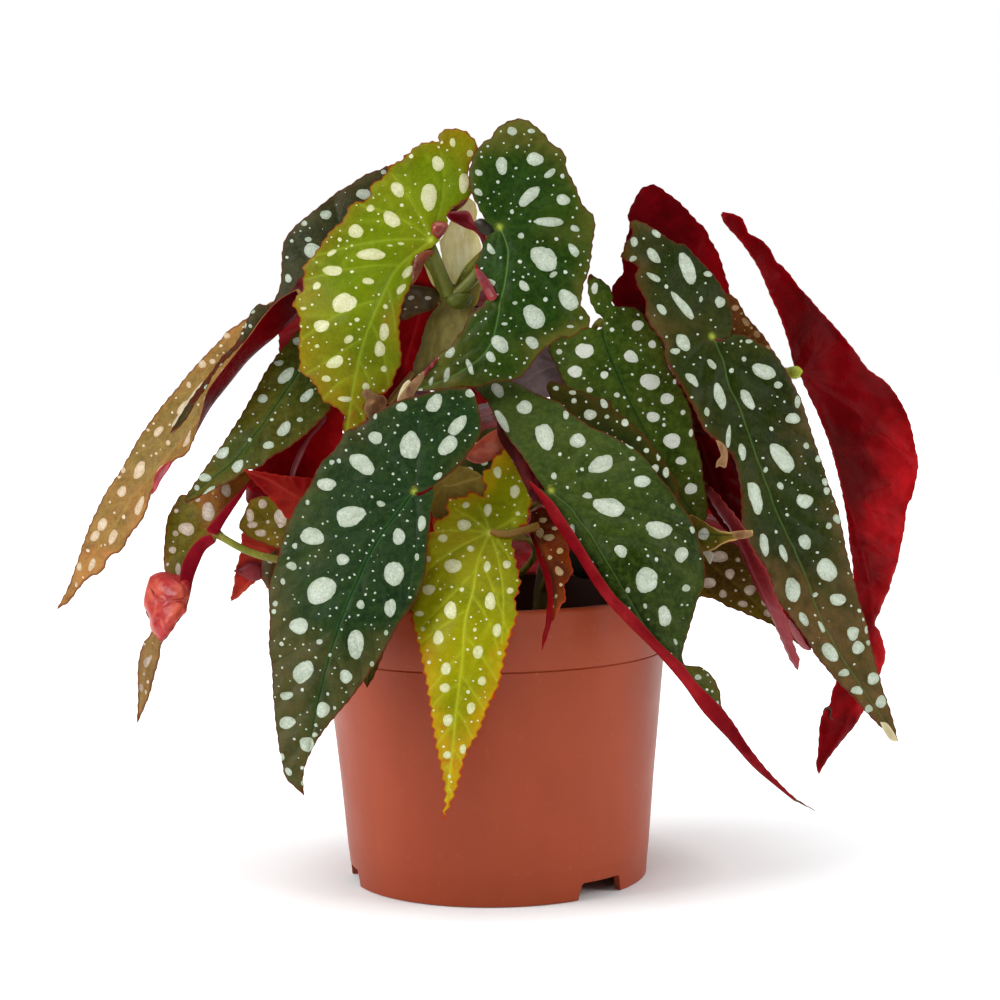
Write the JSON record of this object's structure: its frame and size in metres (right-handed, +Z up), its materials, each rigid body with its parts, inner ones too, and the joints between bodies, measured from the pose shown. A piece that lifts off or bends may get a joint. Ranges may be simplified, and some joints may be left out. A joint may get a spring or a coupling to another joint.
{
  "type": "potted begonia plant",
  "caption": "Leafy cane begonia with long, pointed, white-spotted angel-wing leaves with red undersides, standing in a round tapered terracotta-coloured plastic nursery pot filled with soil.",
  "frame": {"origin": "centre of the bounding box, on the surface the pot stands on", "axes": "+Z up, -Y towards the front of the plant (the side with the low yellow leaf), +X to the plant's right seen from the front; the pot's own axis stands 0.5 mm left and 26.2 mm in front of the origin"},
  "size_m": [0.3004, 0.2211, 0.2566],
  "materials": {
    "pot_plastic": "satin terracotta-coloured moulded plastic",
    "potting_mix": "loose dark peat and bark, matte",
    "cane": "smooth olive-green stems and leaf stalks",
    "stipule": "dry papery cream to tan",
    "leaf_spotted_green": "satin dark green top with silvery white spots, crimson underneath",
    "leaf_yellow_green": "satin yellow-green top with cream spots, crimson underneath",
    "leaf_tan": "ageing tan-brown top with cream spots",
    "leaf_underside_red": "satin crimson underside, spotted green on the other face"
  },
  "bodies": {
    "root": {"cane_centre": "cane", "cane_left": "cane", "cane_right": "cane", "leaf_back_centre_high": "leaf_spotted_green", "leaf_back_centre_low": "leaf_spotted_green", "leaf_back_centre_mid": "leaf_spotted_green", "leaf_back_left_high": "leaf_spotted_green", "leaf_back_left_low": "leaf_spotted_green", "leaf_back_left_mid": "leaf_spotted_green", "leaf_back_right_high": "leaf_spotted_green", "leaf_back_right_low": "leaf_spotted_green", "leaf_back_right_mid": "leaf_spotted_green", "leaf_behind_front_left": "leaf_spotted_green", "leaf_centre_dark": "leaf_spotted_green", "leaf_centre_olive": "leaf_underside_red", "leaf_centre_small": "leaf_spotted_green", "leaf_far_right": "leaf_underside_red", "leaf_front_left": "leaf_spotted_green", "leaf_front_right": "leaf_spotted_green", "leaf_front_yellow": "leaf_yellow_green", "leaf_inner_red": "leaf_underside_red", "leaf_left_curled": "leaf_spotted_green", "leaf_left_flap": "leaf_underside_red", "leaf_left_mid": "leaf_spotted_green", "leaf_left_red": "leaf_underside_red", "leaf_left_small": "leaf_spotted_green", "leaf_left_tan": "leaf_tan", "leaf_low_left": "leaf_underside_red", "leaf_mid_right": "leaf_spotted_green", "leaf_mid_right_lower": "leaf_spotted_green", "leaf_purple": "leaf_underside_red", "leaf_right_back": "leaf_spotted_green", "leaf_right_brown": "leaf_spotted_green", "leaf_right_curl": "leaf_underside_red", "leaf_right_dark": "leaf_underside_red", "leaf_right_folded": "leaf_underside_red", "leaf_right_large": "leaf_spotted_green", "leaf_right_shoulder": "leaf_underside_red", "leaf_top_centre": "leaf_spotted_green", "leaf_upper_left": "leaf_yellow_green", "leaf_upper_left_far": "leaf_spotted_green", "pot": "pot_plastic", "soil": "potting_mix", "stipule_cream": "stipule", "stipule_sliver": "stipule", "stipule_tan": "stipule"}
  },
  "joints": []
}
